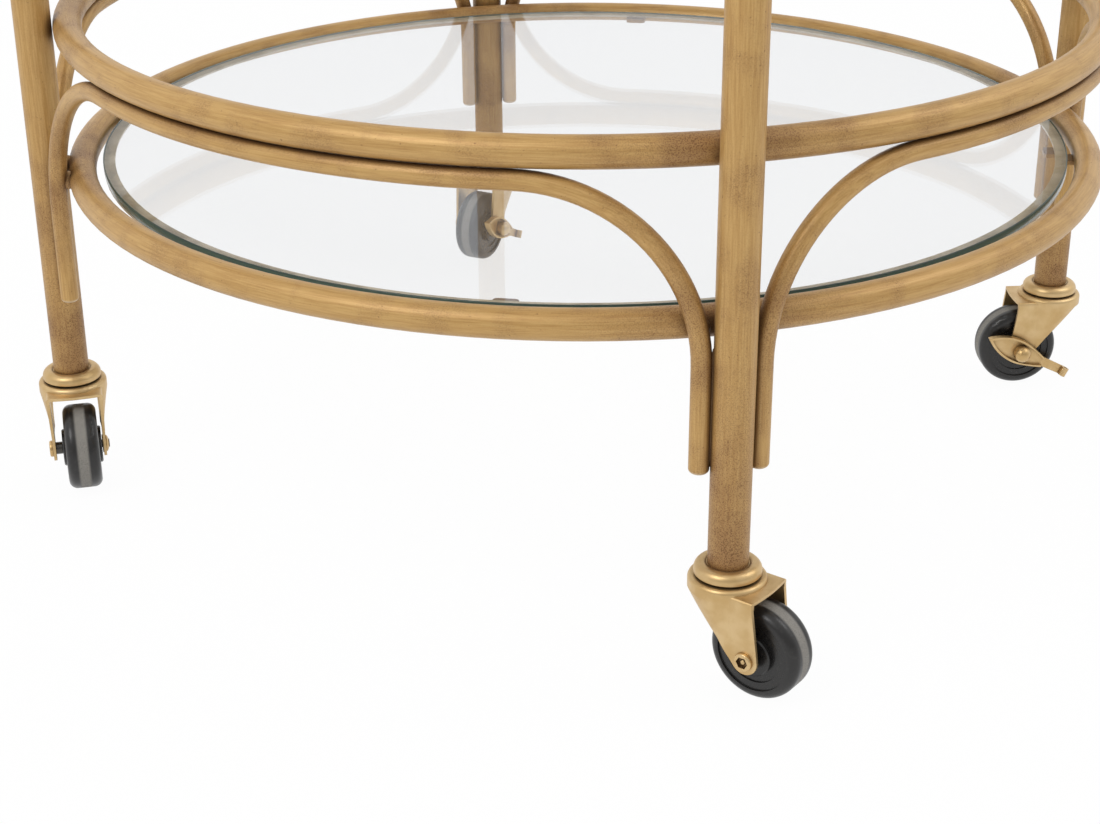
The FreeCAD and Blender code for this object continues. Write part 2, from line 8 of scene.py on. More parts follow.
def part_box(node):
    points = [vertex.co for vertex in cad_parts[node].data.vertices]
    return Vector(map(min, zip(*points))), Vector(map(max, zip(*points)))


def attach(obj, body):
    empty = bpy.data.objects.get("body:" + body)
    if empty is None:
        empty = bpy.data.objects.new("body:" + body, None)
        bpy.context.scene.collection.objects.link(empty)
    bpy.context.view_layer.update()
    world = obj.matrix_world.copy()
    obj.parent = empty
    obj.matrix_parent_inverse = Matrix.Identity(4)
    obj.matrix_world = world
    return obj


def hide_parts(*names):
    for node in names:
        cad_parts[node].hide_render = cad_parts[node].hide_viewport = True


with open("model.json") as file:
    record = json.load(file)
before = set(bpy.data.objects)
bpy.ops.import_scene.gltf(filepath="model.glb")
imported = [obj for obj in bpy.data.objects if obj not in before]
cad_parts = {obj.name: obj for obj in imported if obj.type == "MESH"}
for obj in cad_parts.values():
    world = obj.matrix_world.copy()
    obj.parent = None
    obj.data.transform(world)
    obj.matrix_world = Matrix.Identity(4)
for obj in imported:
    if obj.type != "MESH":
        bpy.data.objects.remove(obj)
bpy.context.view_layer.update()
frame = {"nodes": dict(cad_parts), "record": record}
nodes = frame["nodes"]

# ---------------------------------------------------------------- the camera
# About table height, a little left of the front leg, and looking down on the
# lower shelf. Metres and radians in the trolley's own frame.
camera_spot = Vector((-0.3334, -1.4290, 0.6926))
camera_heading = math.radians(77.884)
camera_tilt = math.radians(25.051)
camera_roll = -0.0057
camera_lens = 67.26
film_width = 36.0
nearest_shown = 0.02

forward = Vector((
    math.cos(camera_heading) * math.cos(camera_tilt),
    math.sin(camera_heading) * math.cos(camera_tilt),
    -math.sin(camera_tilt),
))
level_right = Vector((math.sin(camera_heading), -math.cos(camera_heading), 0))
level_up = level_right.cross(forward)
right = level_right * math.cos(camera_roll) + level_up * math.sin(camera_roll)
up = level_up * math.cos(camera_roll) - level_right * math.sin(camera_roll)
camera_data = bpy.data.cameras.new("camera")
camera_data.lens = camera_lens
camera_data.sensor_width = film_width
camera_data.clip_start = nearest_shown
camera = bpy.data.objects.new("camera", camera_data)
camera.matrix_world = Matrix((
    (right.x, up.x, -forward.x, camera_spot.x),
    (right.y, up.y, -forward.y, camera_spot.y),
    (right.z, up.z, -forward.z, camera_spot.z),
    (0, 0, 0, 1),
))
bpy.context.collection.objects.link(camera)
bpy.context.scene.camera = camera
bpy.context.scene.view_settings.view_transform = "Standard"


# ------------------------------------------------------- the floor and lamps
# A seamless white studio: pale floor, a bright backdrop behind the trolley, a
# dimmer room behind the camera, and two soft lamps above, the left one stronger.
floor_half = 8.0
floor_colour = (0.86, 0.86, 0.86, 1)
floor_glow_share = 0.965
room_bright = 0.98
room_dim = 0.52
room_edge = (-0.75, 0.35)
overhead_share = 0.8
camera_ray_white = 1.0
white = (1, 1, 1, 1)
lamp_aim = (0, 0, 0.3)
lamp_size = 1.2


def add_node(tree, kind, sockets=None, **settings):
    """Adds a shader node. A value in sockets is set there, and a socket is
    linked there."""
    made = tree.nodes.new(kind)
    for name, value in settings.items():
        setattr(made, name, value)
    for name, value in (sockets or {}).items():
        if isinstance(value, bpy.types.NodeSocket):
            tree.links.new(value, made.inputs[name])
        else:
            made.inputs[name].default_value = value
    return made


def maths(tree, operation, *values, clamp=False):
    """One Math node, given as its result."""
    sockets = dict(enumerate(values))
    return add_node(tree, "ShaderNodeMath", sockets, operation=operation, use_clamp=clamp).outputs[0]


def stretch(tree, value, low, high, start=0.0, end=1.0):
    """Maps low..high to start..end with soft ends."""
    sockets = {"Value": value, "From Min": low, "From Max": high, "To Min": start, "To Max": end}
    made = add_node(tree, "ShaderNodeMapRange", sockets, interpolation_type="SMOOTHSTEP")
    return made.outputs["Result"]


def blend_colours(tree, amount, one, other):
    """Colour mix from one to other by amount."""
    made = add_node(tree, "ShaderNodeMix", data_type="RGBA")
    for name, value in (("Factor", amount), ("A", one), ("B", other)):
        socket = [s for s in made.inputs if s.name == name and s.type in ("RGBA", "VALUE") and s.enabled][0]
        if isinstance(value, bpy.types.NodeSocket):
            tree.links.new(value, socket)
        else:
            socket.default_value = value
    return [s for s in made.outputs if s.type == "RGBA"][0]


def seen_directly(tree):
    """1 for what the camera, a mirror or the glass shows."""
    path = add_node(tree, "ShaderNodeLightPath").outputs
    shiny = maths(tree, "MAXIMUM", path["Is Glossy Ray"], path["Is Transmission Ray"])
    return maths(tree, "MAXIMUM", path["Is Camera Ray"], shiny)


def new_material(name):
    """An empty material, its nodes and its output."""
    material = bpy.data.materials.new(name)
    material.use_nodes = True
    tree = material.node_tree
    tree.nodes.clear()
    output = add_node(tree, "ShaderNodeOutputMaterial")
    return material, tree, output


floor_material, tree, output = new_material("studio_floor")
matt = add_node(tree, "ShaderNodeBsdfDiffuse", {"Color": floor_colour})
glow = add_node(tree, "ShaderNodeEmission", {"Color": white, "Strength": 1.0})
share = maths(tree, "MULTIPLY", seen_directly(tree), floor_glow_share)
mixed = add_node(tree, "ShaderNodeMixShader", {0: share, 1: matt.outputs[0], 2: glow.outputs[0]})
tree.links.new(mixed.outputs[0], output.inputs["Surface"])

floor_mesh = bpy.data.meshes.new("studio_floor")
corners = [(-floor_half, -floor_half, 0), (floor_half, -floor_half, 0),
           (floor_half, floor_half, 0), (-floor_half, floor_half, 0)]
floor_mesh.from_pydata(corners, [], [(0, 1, 2, 3)])
floor_mesh.materials.append(floor_material)
floor = bpy.data.objects.new("studio_floor", floor_mesh)
bpy.context.collection.objects.link(floor)

world = bpy.data.worlds.new("studio")
world.use_nodes = True
bpy.context.scene.world = world
tree = world.node_tree
tree.nodes.clear()
direction = add_node(tree, "ShaderNodeTexCoord").outputs["Generated"]
toward_back = add_node(tree, "ShaderNodeSeparateXYZ", {0: direction}).outputs["Y"]
overhead = add_node(tree, "ShaderNodeSeparateXYZ", {0: direction}).outputs["Z"]
side = maths(tree, "ADD", toward_back, maths(tree, "MULTIPLY", overhead, overhead_share))
brightness = stretch(tree, side, room_edge[0], room_edge[1], room_dim, room_bright)
is_camera = add_node(tree, "ShaderNodeLightPath").outputs["Is Camera Ray"]
strength = maths(tree, "MAXIMUM", brightness, maths(tree, "MULTIPLY", is_camera, camera_ray_white))
sky = add_node(tree, "ShaderNodeBackground", {"Color": white, "Strength": strength})
add_node(tree, "ShaderNodeOutputWorld", {"Surface": sky.outputs[0]})


def soft_lamp(name, spot, watts):
    """A square softbox at spot, facing the lower tier."""
    lamp_data = bpy.data.lights.new(name, "AREA")
    lamp_data.size = lamp_size
    lamp_data.energy = watts
    lamp = bpy.data.objects.new(name, lamp_data)
    lamp.location = spot
    lamp.rotation_euler = (Vector(lamp_aim) - Vector(spot)).to_track_quat("-Z", "Y").to_euler()
    bpy.context.collection.objects.link(lamp)


soft_lamp("lamp_upper_left", spot=(-1.7, -1.3, 2.3), watts=22)
soft_lamp("lamp_upper_right", spot=(1.9, -0.4, 2.2), watts=10)


# ------------------------------------------------------------------- the legs
# Four upright steel tubes with domed caps, painted antiqued gold: a tan coat
# brushed on lengthwise, stippled with brown, and browner low down and at joints.
gold_paint = (0.530, 0.318, 0.102, 1)
gold_light = (0.625, 0.408, 0.165, 1)
gold_deep = (0.370, 0.195, 0.058, 1)
# The brown below is the glaze, and also the painted shade on ring undersides and hoop tops.
brown_glaze_and_shade = (0.260, 0.128, 0.046, 1)
# The crevices' brown below is partly glaze and partly painted shade.
crevice_brown_and_shade = (0.110, 0.052, 0.020, 1)
stipple_brown = (0.165, 0.072, 0.025, 1)
rubbed_pale = (0.700, 0.590, 0.430, 1)
streak_across = 900.0
streak_along = 38.0
streak_detail = 4.0
streak_roughness = 0.62
streak_range = (0.36, 0.66)
thin_line_range = (0.40, 0.31)
stipple_grain = 1250.0
stipple_roughness = 0.75
fleck_range = (0.47, 0.62)
pit_grain = 520.0
pit_range = (0.73, 0.77)
cloud_size = 34.0
cloud_detail = 3.0
patch_range = (0.46, 0.70)
wash_from_clouds = (0.30, 0.62, 0.35, 1.0)
# Crevices are darkened from Ambient Occlusion: partly brown glaze, partly painted shade.
crevice_reach = 0.012
crevice_range = (0.74, 0.36)
crevice_samples = 6
plain_share = 0.62
thin_line_share = 0.28
wash_share = 0.50
patch_wash_share = 0.20
aged_fleck_share = 0.62
patch_fleck_share = 0.34
fleck_everywhere = 0.06
pit_share = 0.6
# The share below sets how strongly crevices take brown glaze and painted shade.
crevice_glaze_and_shade_share = 0.80
paint_metal = 0.25
paint_roughness = 0.33
fleck_roughness = 0.25
brush_roughness = 0.12
fleck_depth = 0.5
paint_relief = 0.16
paint_relief_depth = 0.0004
leg_names = ("front", "right", "back", "left")


def place_at_rest(tree):
    """The place on the trolley at rest, as a vector and as x, y and z."""
    place = add_node(tree, "ShaderNodeTexCoord").outputs["Object"]
    parts = add_node(tree, "ShaderNodeSeparateXYZ", {0: place}).outputs
    return place, parts["X"], parts["Y"], parts["Z"]


def streaks(tree, across, along):
    """Brush marks: fine noise across a tube, drawn out along it. Both are
    pairs of lengths in metres."""
    vector = add_node(tree, "ShaderNodeCombineXYZ", {
        "X": maths(tree, "MULTIPLY", across[0], streak_across),
        "Y": maths(tree, "MULTIPLY", across[1], streak_across),
        "Z": maths(tree, "MULTIPLY", along[0], streak_along),
    }).outputs[0]
    return add_node(tree, "ShaderNodeTexNoise", {
        "Vector": vector,
        "W": maths(tree, "MULTIPLY", along[1], streak_along),
        "Scale": 1.0,
        "Detail": streak_detail,
        "Roughness": streak_roughness,
    }, noise_dimensions="4D").outputs["Fac"]


def noise(tree, vector, scale, detail=2.0, roughness=0.5):
    """Cloudy noise from 0 to 1, finer as scale grows."""
    sockets = {"Vector": vector, "Scale": scale, "Detail": detail, "Roughness": roughness}
    return add_node(tree, "ShaderNodeTexNoise", sockets).outputs["Fac"]


def nowhere(tree, x, y, z):
    """No part of a piece."""
    return 0.0


def gold_colour(tree, place, brushed, browning):
    """The paint's colour, and where it is stippled: streaks, clouds of
    browner gold, brown flecks and a few pits."""
    clouds = noise(tree, place, cloud_size, cloud_detail)
    patchy = stretch(tree, clouds, *patch_range)
    colour = blend_colours(tree, stretch(tree, brushed, *streak_range), gold_deep, gold_light)
    colour = blend_colours(tree, plain_share, colour, gold_paint)
    thin_lines = maths(tree, "MULTIPLY", stretch(tree, brushed, *thin_line_range), thin_line_share)
    colour = blend_colours(tree, thin_lines, colour, brown_glaze_and_shade)
    # The browning brings ageing and, on rings and hoops, painted shade.
    browned = maths(tree, "MULTIPLY", browning, stretch(tree, clouds, *wash_from_clouds))
    patch_wash = maths(tree, "MULTIPLY", patchy, patch_wash_share)
    wash = maths(tree, "ADD", patch_wash, maths(tree, "MULTIPLY", browned, wash_share), clamp=True)
    colour = blend_colours(tree, wash, colour, brown_glaze_and_shade)
    stipple = noise(tree, place, stipple_grain, roughness=stipple_roughness)
    fleck = stretch(tree, stipple, *fleck_range)
    aged_flecks = maths(tree, "MULTIPLY", browning, aged_fleck_share)
    share = maths(tree, "ADD", aged_flecks, maths(tree, "MULTIPLY", patchy, patch_fleck_share))
    share = maths(tree, "ADD", share, fleck_everywhere, clamp=True)
    pits = stretch(tree, noise(tree, place, pit_grain, detail=1.0), *pit_range)
    pitted = maths(tree, "MULTIPLY", pits, pit_share)
    flecks = maths(tree, "MAXIMUM", maths(tree, "MULTIPLY", fleck, share), pitted)
    return blend_colours(tree, flecks, colour, stipple_brown), flecks


def antiqued_gold(name, across_along, browning_by_place, rubbed=nowhere):
    """The frame's paint. across_along gives the tube's own directions, the
    browning function how brown it is, from ageing and, on rings and hoops,
    from painted shade, and rubbed where it is worn pale, from 0 to 1."""
    material, tree, output = new_material(name)
    place, x, y, z = place_at_rest(tree)
    across, along = across_along(tree, x, y, z)
    brushed = streaks(tree, across, along)
    browning = browning_by_place(tree, x, y, z)
    # Painted shade: Ambient Occlusion darkens creases and the gaps between tubes towards brown, partly the
    # glaze the paint holds there.
    shade_occlusion = add_node(tree, "ShaderNodeAmbientOcclusion", {"Distance": crevice_reach},
                      samples=crevice_samples)
    painted_crevice_shade = maths(tree, "MULTIPLY", stretch(tree, shade_occlusion.outputs["AO"], *crevice_range), crevice_glaze_and_shade_share)
    colour, flecks = gold_colour(tree, place, brushed, browning)
    colour = blend_colours(tree, painted_crevice_shade, colour, crevice_brown_and_shade)
    colour = blend_colours(tree, rubbed(tree, x, y, z), colour, rubbed_pale)
    rough = maths(tree, "ADD", paint_roughness, maths(tree, "MULTIPLY", flecks, fleck_roughness))
    rough = maths(tree, "ADD", rough, maths(tree, "MULTIPLY", brushed, brush_roughness))
    height = maths(tree, "SUBTRACT", brushed, maths(tree, "MULTIPLY", flecks, fleck_depth))
    bump = add_node(tree, "ShaderNodeBump", {
        "Height": height, "Strength": paint_relief, "Distance": paint_relief_depth,
    })
    paint = add_node(tree, "ShaderNodeBsdfPrincipled", {
        "Base Color": colour,
        "Roughness": rough,
        "Metallic": paint_metal,
        "Normal": bump.outputs[0],
    })
    tree.links.new(paint.outputs[0], output.inputs["Surface"])
    return material


def finish_node(node, material):
    """Gives a CAD node one finish all over."""
    mesh = nodes[node].data
    mesh.materials.clear()
    mesh.materials.append(material)


def node_middle(node):
    """The middle of a CAD node's box."""
    low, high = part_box(node)
    return (Vector(low) + Vector(high)) / 2


leg_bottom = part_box("leg_front")[0][2]
shelf_heights = [node_middle(tier + "_shelf_ring").z for tier in ("lower", "upper")]
gallery_heights = [node_middle(tier + "_gallery_ring").z for tier in ("lower", "upper")]
foot_glaze_up = 0.22
foot_glaze_down = 0.01
faint_glaze = 0.08
joint_glaze = 0.16
joint_glaze_reach = 0.030


def near_height(tree, z, height, reach):
    """1 at a height, fading to 0 at reach above or below it."""
    away = maths(tree, "ABSOLUTE", maths(tree, "SUBTRACT", z, height))
    return stretch(tree, away, reach, 0.0)


def leg_ageing(tree, x, y, z):
    """Browner towards the caster and where rings and hoops are welded on."""
    browning = stretch(tree, z, leg_bottom + foot_glaze_up, leg_bottom - foot_glaze_down, faint_glaze, 1.0)
    for height in shelf_heights + gallery_heights:
        at_joint = maths(tree, "MULTIPLY", near_height(tree, z, height, joint_glaze_reach), joint_glaze)
        browning = maths(tree, "MAXIMUM", browning, at_joint)
    return browning


for leg in leg_names:
    middle = node_middle("leg_" + leg)

    def leg_directions(tree, x, y, z):
        across = (maths(tree, "SUBTRACT", x, middle.x), maths(tree, "SUBTRACT", y, middle.y))
        return across, (z, middle.x + middle.y)

    finish_node("leg_" + leg, antiqued_gold("leg_paint_" + leg, leg_directions, leg_ageing))


def cap_directions(tree, x, y, z):
    return (x, y), (z, 0.0)


finish_node("leg_caps", antiqued_gold("cap_paint", cap_directions, leg_ageing))


# ------------------------------------------------------------------ the rings
# Two rolled tubes on each tier, each butt-welded to itself: the lower holds the
# glass, the upper is the gallery rail. The paint is brushed on along the tube.
leg_glaze = 0.95
leg_glaze_reach = 0.12
# Painted shade: the rings' undersides are darkened towards brown.
underside_shade = 0.25
under_from = 0.003
under_full = 0.010


def round_the_middle(tree, x, y):
    """Distance from the trolley's axis."""
    squares = maths(tree, "ADD", maths(tree, "MULTIPLY", x, x), maths(tree, "MULTIPLY", y, y))
    return maths(tree, "SQRT", squares)


def ring_directions(tree, x, y, z):
    return (round_the_middle(tree, x, y), z), (x, y)


def beside_legs(tree, x, y):
    """1 at a leg, fading to 0 some way along the ring."""
    nearest = maths(tree, "MINIMUM", maths(tree, "ABSOLUTE", x), maths(tree, "ABSOLUTE", y))
    return stretch(tree, nearest, leg_glaze_reach, 0.0)


def ring_browning_and_shade(height):
    """Browner beside the legs, and darker on the underside with painted shade."""
    def browning_by_place(tree, x, y, z):
        legs_near = maths(tree, "MULTIPLY", beside_legs(tree, x, y), leg_glaze)
        # Painted shade on the underside of the tube.
        shaded_underside = stretch(tree, z, height - under_from, height - under_full)
        return maths(tree, "MAXIMUM", legs_near, maths(tree, "MULTIPLY", shaded_underside, underside_shade))
    return browning_by_place


for tier in ("lower", "upper"):
    for ring in ("shelf_ring", "gallery_ring"):
        node = tier + "_" + ring
        browning_by_place = ring_browning_and_shade(node_middle(node).z)
        finish_node(node, antiqued_gold(node + "_paint", ring_directions, browning_by_place))


# ------------------------------------------------------------------ the hoops
# Eight bent rods: each runs under a gallery ring and turns down beside a leg
# at both ends. The brush followed the bend, and the cut ends are rubbed pale.
hoop_bend = 0.110
run_drop = 0.0164
upright_aside = 0.0187
streak_lean = (0.6, 0.8)
# The top of the run, in the gap under the gallery ring, is browned: partly glaze, partly painted shade.
run_top_glaze_and_shade = 0.6
top_from = 0.001
top_full = 0.006
ring_glaze = 0.85
ring_glaze_reach = 0.075
rubbed_share = 0.75
rubbed_from = 0.0030
rubbed_full = 0.0005
hoop_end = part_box("lower_hoop_front_right")[0][2] - gallery_heights[0]
ring_spacing = gallery_heights[0] - shelf_heights[0]


def hoop_directions(tier_gallery):
    """Along and across a hoop, as if unrolled flat: a level run, a quarter
    bend and an upright."""
    def directions(tree, x, y, z):
        radius = round_the_middle(tree, x, y)
        nearest = maths(tree, "MINIMUM", maths(tree, "ABSOLUTE", x), maths(tree, "ABSOLUTE", y))
        past_run = maths(tree, "SUBTRACT", upright_aside + hoop_bend, nearest)
        above_bend = maths(tree, "SUBTRACT", z, tier_gallery - run_drop - hoop_bend)
        right_part = maths(tree, "MAXIMUM", past_run, 0.0)
        up_part = maths(tree, "MAXIMUM", above_bend, 0.0)
        squares = maths(tree, "ADD", maths(tree, "MULTIPLY", right_part, right_part),
                        maths(tree, "MULTIPLY", up_part, up_part))
        across = maths(tree, "SQRT", squares)
        slow_one = maths(tree, "ADD", x, maths(tree, "MULTIPLY", y, streak_lean[0]))
        slow_two = maths(tree, "SUBTRACT", z, maths(tree, "MULTIPLY", y, streak_lean[1]))
        return (across, radius), (slow_one, slow_two)
    return directions


def hoop_browning_and_shade(height):
    """Browner on top of the run, under the gallery ring, where brown glaze and
    painted shade darken the gap, and where the uprights pass the shelf ring."""
    def browning_by_place(tree, x, y, z):
        # Painted shade, with brown glaze, on the run's top side.
        glazed_and_shaded_top = stretch(tree, z, height - run_drop + top_from, height - run_drop + top_full)
        beside_ring = near_height(tree, z, height - ring_spacing, ring_glaze_reach)
        at_ring = maths(tree, "MULTIPLY", beside_ring, ring_glaze)
        return maths(tree, "MAXIMUM", maths(tree, "MULTIPLY", glazed_and_shaded_top, run_top_glaze_and_shade), at_ring)
    return browning_by_place


def hoop_rubbed(height):
    """Rubbed at the rounded cut ends."""
    def rubbed(tree, x, y, z):
        end = height + hoop_end
        at_end = stretch(tree, z, end + rubbed_from, end + rubbed_full)
        return maths(tree, "MULTIPLY", at_end, rubbed_share)
    return rubbed


for tier, gallery in zip(("lower", "upper"), gallery_heights):
    hoop_paint = antiqued_gold(tier + "_hoop_paint", hoop_directions(gallery), hoop_browning_and_shade(gallery),
                               hoop_rubbed(gallery))
    for i, leg in enumerate(leg_names):
        finish_node(tier + "_hoop_" + leg + "_" + leg_names[(i + 1) % 4], hoop_paint)


# ------------------------------------------------------------- the weld beads
# Small fillet welds where tubes meet, painted over with the frame, with the
# brown glaze left standing in them.
weld_glaze = 0.8


def weld_directions(tree, x, y, z):
    return (x, z), (y, 0.0)


def weld_ageing(tree, x, y, z):
    """The same glaze all over."""
    return weld_glaze


weld_paint = antiqued_gold("weld_paint", weld_directions, weld_ageing)
for tier in ("lower", "upper"):
    finish_node(tier + "_weld_beads", weld_paint)


# ---------------------------------------------------- the seams beside the legs
# Each hoop's upright is brazed to its leg; the braze and the paint fill the
# seam between the two beads, so no light comes through.
leg_circle = 0.387
leg_radius = 0.0127
hoop_circle = 0.38215
hoop_to_leg = 0.01935
seam_radius = 0.0013
seam_sides = 10
seam_end_share = 0.3
seam_taper = 4 * seam_radius
seam_from_end = 0.004
seam_under_ring = 0.010


def seam_spot(turn, side):
    """Where a leg and the hoop beside it come closest, in plan."""
    squares = leg_circle ** 2 + hoop_circle ** 2 - hoop_to_leg ** 2
    lean = turn + side * math.acos(squares / (2 * leg_circle * hoop_circle))
    leg_axis = Vector((leg_circle * math.cos(turn), leg_circle * math.sin(turn), 0))
    hoop_axis = Vector((hoop_circle * math.cos(lean), hoop_circle * math.sin(lean), 0))
    return leg_axis + (hoop_axis - leg_axis).normalized() * leg_radius


def upright_bead(build, spot, low, high):
    """A thin bead with tapered ends, standing at spot."""
    rows = []
    for height, share in ((low, seam_end_share), (low + seam_taper, 1.0),
                          (high - seam_taper, 1.0), (high, seam_end_share)):
        turns = [2 * math.pi * i / seam_sides for i in range(seam_sides)]
        reach = seam_radius * share
        ring = [(spot.x + reach * math.cos(a), spot.y + reach * math.sin(a), height) for a in turns]
        rows.append([build.verts.new(corner) for corner in ring])
    build.faces.new(list(reversed(rows[0])))
    build.faces.new(rows[-1])
    for lower_row, upper_row in zip(rows, rows[1:]):
        for i in range(seam_sides):
            after = (i + 1) % seam_sides
            side = build.faces.new((lower_row[i], lower_row[after], upper_row[after], upper_row[i]))
            side.smooth = True


for tier, shelf, gallery in zip(("lower", "upper"), shelf_heights, gallery_heights):
    build = bmesh.new()
    for quarter in range(4):
        for side in (-1, 1):
            spot = seam_spot(math.pi / 2 * quarter, side)
            upright_bead(build, spot, gallery + hoop_end + seam_from_end, shelf - seam_under_ring)
    mesh = bpy.data.meshes.new(tier + "_seams")
    build.to_mesh(mesh)
    build.free()
    mesh.materials.append(weld_paint)
    seams = bpy.data.objects.new(tier + "_seams", mesh)
    bpy.context.collection.objects.link(seams)
    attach(seams, "trolley")


# ----------------------------------------------------------- the glass discs
# Float glass with a ground and polished edge, lying loose on a soft strip.
# Its flat faces are clear under a faint film of dust; the edge shows the
# glass's green, darkest where it is ground off round the rims.
glass_clear = (0.950, 0.952, 0.952, 1)
edge_green = (0.120, 0.195, 0.165, 1)
ground_green = (0.022, 0.052, 0.042, 1)
glass_shade = (0.93, 0.94, 0.935, 1)
mirror_tint = (0.94, 0.96, 1.0, 1)
mirror_share = 0.50
dust_film = (0.86, 0.86, 0.87, 1)
dust_share = 0.035
glass_index = 1.52
edge_roughness = 0.16
edge_clearness = 0.30
rim_roughness = 0.30
rim_clearness = 0.0
disc_sides = 240
ground_width = 0.0008
ground_steps = 3


def clear_glass(name):
    """Glass that refracts and mirrors softly, with a faint film of dust, and
    lets light fall through onto what is below."""
    material, tree, output = new_material(name)
    through = add_node(tree, "ShaderNodeBsdfRefraction", {
        "Color": glass_clear, "Roughness": 0.0, "IOR": glass_index,
    })
    mirror = add_node(tree, "ShaderNodeBsdfGlossy", {"Color": mirror_tint, "Roughness": 0.0})
    glance = add_node(tree, "ShaderNodeFresnel", {"IOR": glass_index}).outputs[0]
    share = maths(tree, "MULTIPLY", glance, mirror_share)
    clean = add_node(tree, "ShaderNodeMixShader", {0: share, 1: through.outputs[0], 2: mirror.outputs[0]})
    overlay = add_node(tree, "ShaderNodeBsdfDiffuse", {"Color": dust_film})
    dusty = add_node(tree, "ShaderNodeMixShader", {0: dust_share, 1: clean.outputs[0], 2: overlay.outputs[0]})
    path = add_node(tree, "ShaderNodeLightPath").outputs
    soft_light = maths(tree, "MAXIMUM", path["Is Shadow Ray"], path["Is Diffuse Ray"])
    open_way = add_node(tree, "ShaderNodeBsdfTransparent", {"Color": glass_shade})
    surface = add_node(tree, "ShaderNodeMixShader", {
        0: soft_light, 1: dusty.outputs[0], 2: open_way.outputs[0],
    })
    tree.links.new(surface.outputs[0], output.inputs["Surface"])
    return material


def edge_glass(name, colour, roughness, clearness):
    """The green of the glass's edge."""
    material, tree, output = new_material(name)
    glass = add_node(tree, "ShaderNodeBsdfPrincipled", {
        "Base Color": colour,
        "Roughness": roughness,
        "IOR": glass_index,
        "Transmission Weight": clearness,
    })
    tree.links.new(glass.outputs[0], output.inputs["Surface"])
    return material


def disc_profile(radius, low, high):
    """Radius and height from the lower face to the upper one, round both rims."""
    profile = []
    for centre_z, start in ((low + ground_width, -90), (high - ground_width, 0)):
        for step in range(ground_steps + 1):
            angle = math.radians(start + 90 * step / ground_steps)
            out = radius - ground_width + ground_width * math.cos(angle)
            profile.append((out, centre_z + ground_width * math.sin(angle)))
    return profile


def lathed_disc(name, profile, materials):
    """A disc turned from its profile, with clear faces, a green wall and
    ground rims."""
    mesh = bpy.data.meshes.new(name)
    build = bmesh.new()
    rows = []
    for out, height in profile:
        turns = [2 * math.pi * i / disc_sides for i in range(disc_sides)]
        rows.append([build.verts.new((out * math.cos(a), out * math.sin(a), height)) for a in turns])
    faces = [build.faces.new(list(reversed(rows[0]))), build.faces.new(rows[-1])]
    for k in range(len(rows) - 1):
        for i in range(disc_sides):
            after = (i + 1) % disc_sides
            side = build.faces.new((rows[k][i], rows[k][after], rows[k + 1][after], rows[k + 1][i]))
            side.material_index = 1 if k == ground_steps else 2
            side.smooth = True
    for face in faces:
        for edge in face.edges:
            edge.smooth = False
    build.to_mesh(mesh)
    build.free()
    for material in materials:
        mesh.materials.append(material)
    return bpy.data.objects.new(name, mesh)


glass_finishes = (
    clear_glass("glass_face"),
    edge_glass("glass_edge", edge_green, edge_roughness, edge_clearness),
    edge_glass("glass_ground_rim", ground_green, rim_roughness, rim_clearness),
)
for tier in ("lower", "upper"):
    low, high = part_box(tier + "_glass_shelf")
    disc = lathed_disc(tier + "_glass_disc", disc_profile(high[0], low[2], high[2]), glass_finishes)
    bpy.context.collection.objects.link(disc)
    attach(disc, "trolley")
    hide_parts(tier + "_glass_shelf")


# -------------------------------------------------- the glass tabs and strips
# Flat steel tabs welded inside each shelf ring, painted with the frame, and a
# soft cloudy strip under the glass's edge that keeps it off the metal.
strip_cloudy = (0.620, 0.530, 0.400, 1)
strip_aged = (0.440, 0.350, 0.225, 1)
frost_grain = 45.0
frost_range = (0.35, 0.75)
strip_roughness = (0.3, 0.7, 0.28, 0.44)
strip_index = 1.45
strip_clearness = 0.12
tab_paint = antiqued_gold("tab_paint", ring_directions, weld_ageing)
strip_material, tree, output = new_material("cloudy_strip")
frost = noise(tree, place_at_rest(tree)[0], frost_grain, detail=3.0)
soft_clear = add_node(tree, "ShaderNodeBsdfPrincipled", {
    "Base Color": blend_colours(tree, stretch(tree, frost, *frost_range), strip_cloudy, strip_aged),
    "Roughness": stretch(tree, frost, *strip_roughness),
    "IOR": strip_index,
    "Transmission Weight": strip_clearness,
})
tree.links.new(soft_clear.outputs[0], output.inputs["Surface"])
for tier in ("lower", "upper"):
    finish_node(tier + "_glass_tabs", tab_paint)
    finish_node(tier + "_glass_strip", strip_material)


# ----------------------------------------------- the casters' brass-tone metal
# Pressed steel, plated satin brass: collar, fork, lever and cap nut. The plating
# is a little cloudy, with a fine grain holding a dull film, and its hollows are
# darkened with painted shade.
brass = (0.560, 0.375, 0.165, 1)
brass_pale = (0.680, 0.495, 0.260, 1)
# The dull brass below serves the grain's film and the painted shade in hollows.
brass_dull_and_shade = (0.200, 0.115, 0.042, 1)
brass_metallic = 0.86
brass_roughness = 0.34
plating_clouds = 60.0
plating_range = (0.30, 0.70)
plating_grain = 1500.0
film_range = (0.58, 0.75)
film_share = 0.18
# Hollows are darkened from Ambient Occlusion: painted shade.
hollow_reach = 0.006
hollow_range = (0.75, 0.25)
hollow_painted_shade = 0.85
cloud_roughness = 0.10
pressed_edge = 0.0005
grain_relief = 0.10
grain_depth = 0.0002


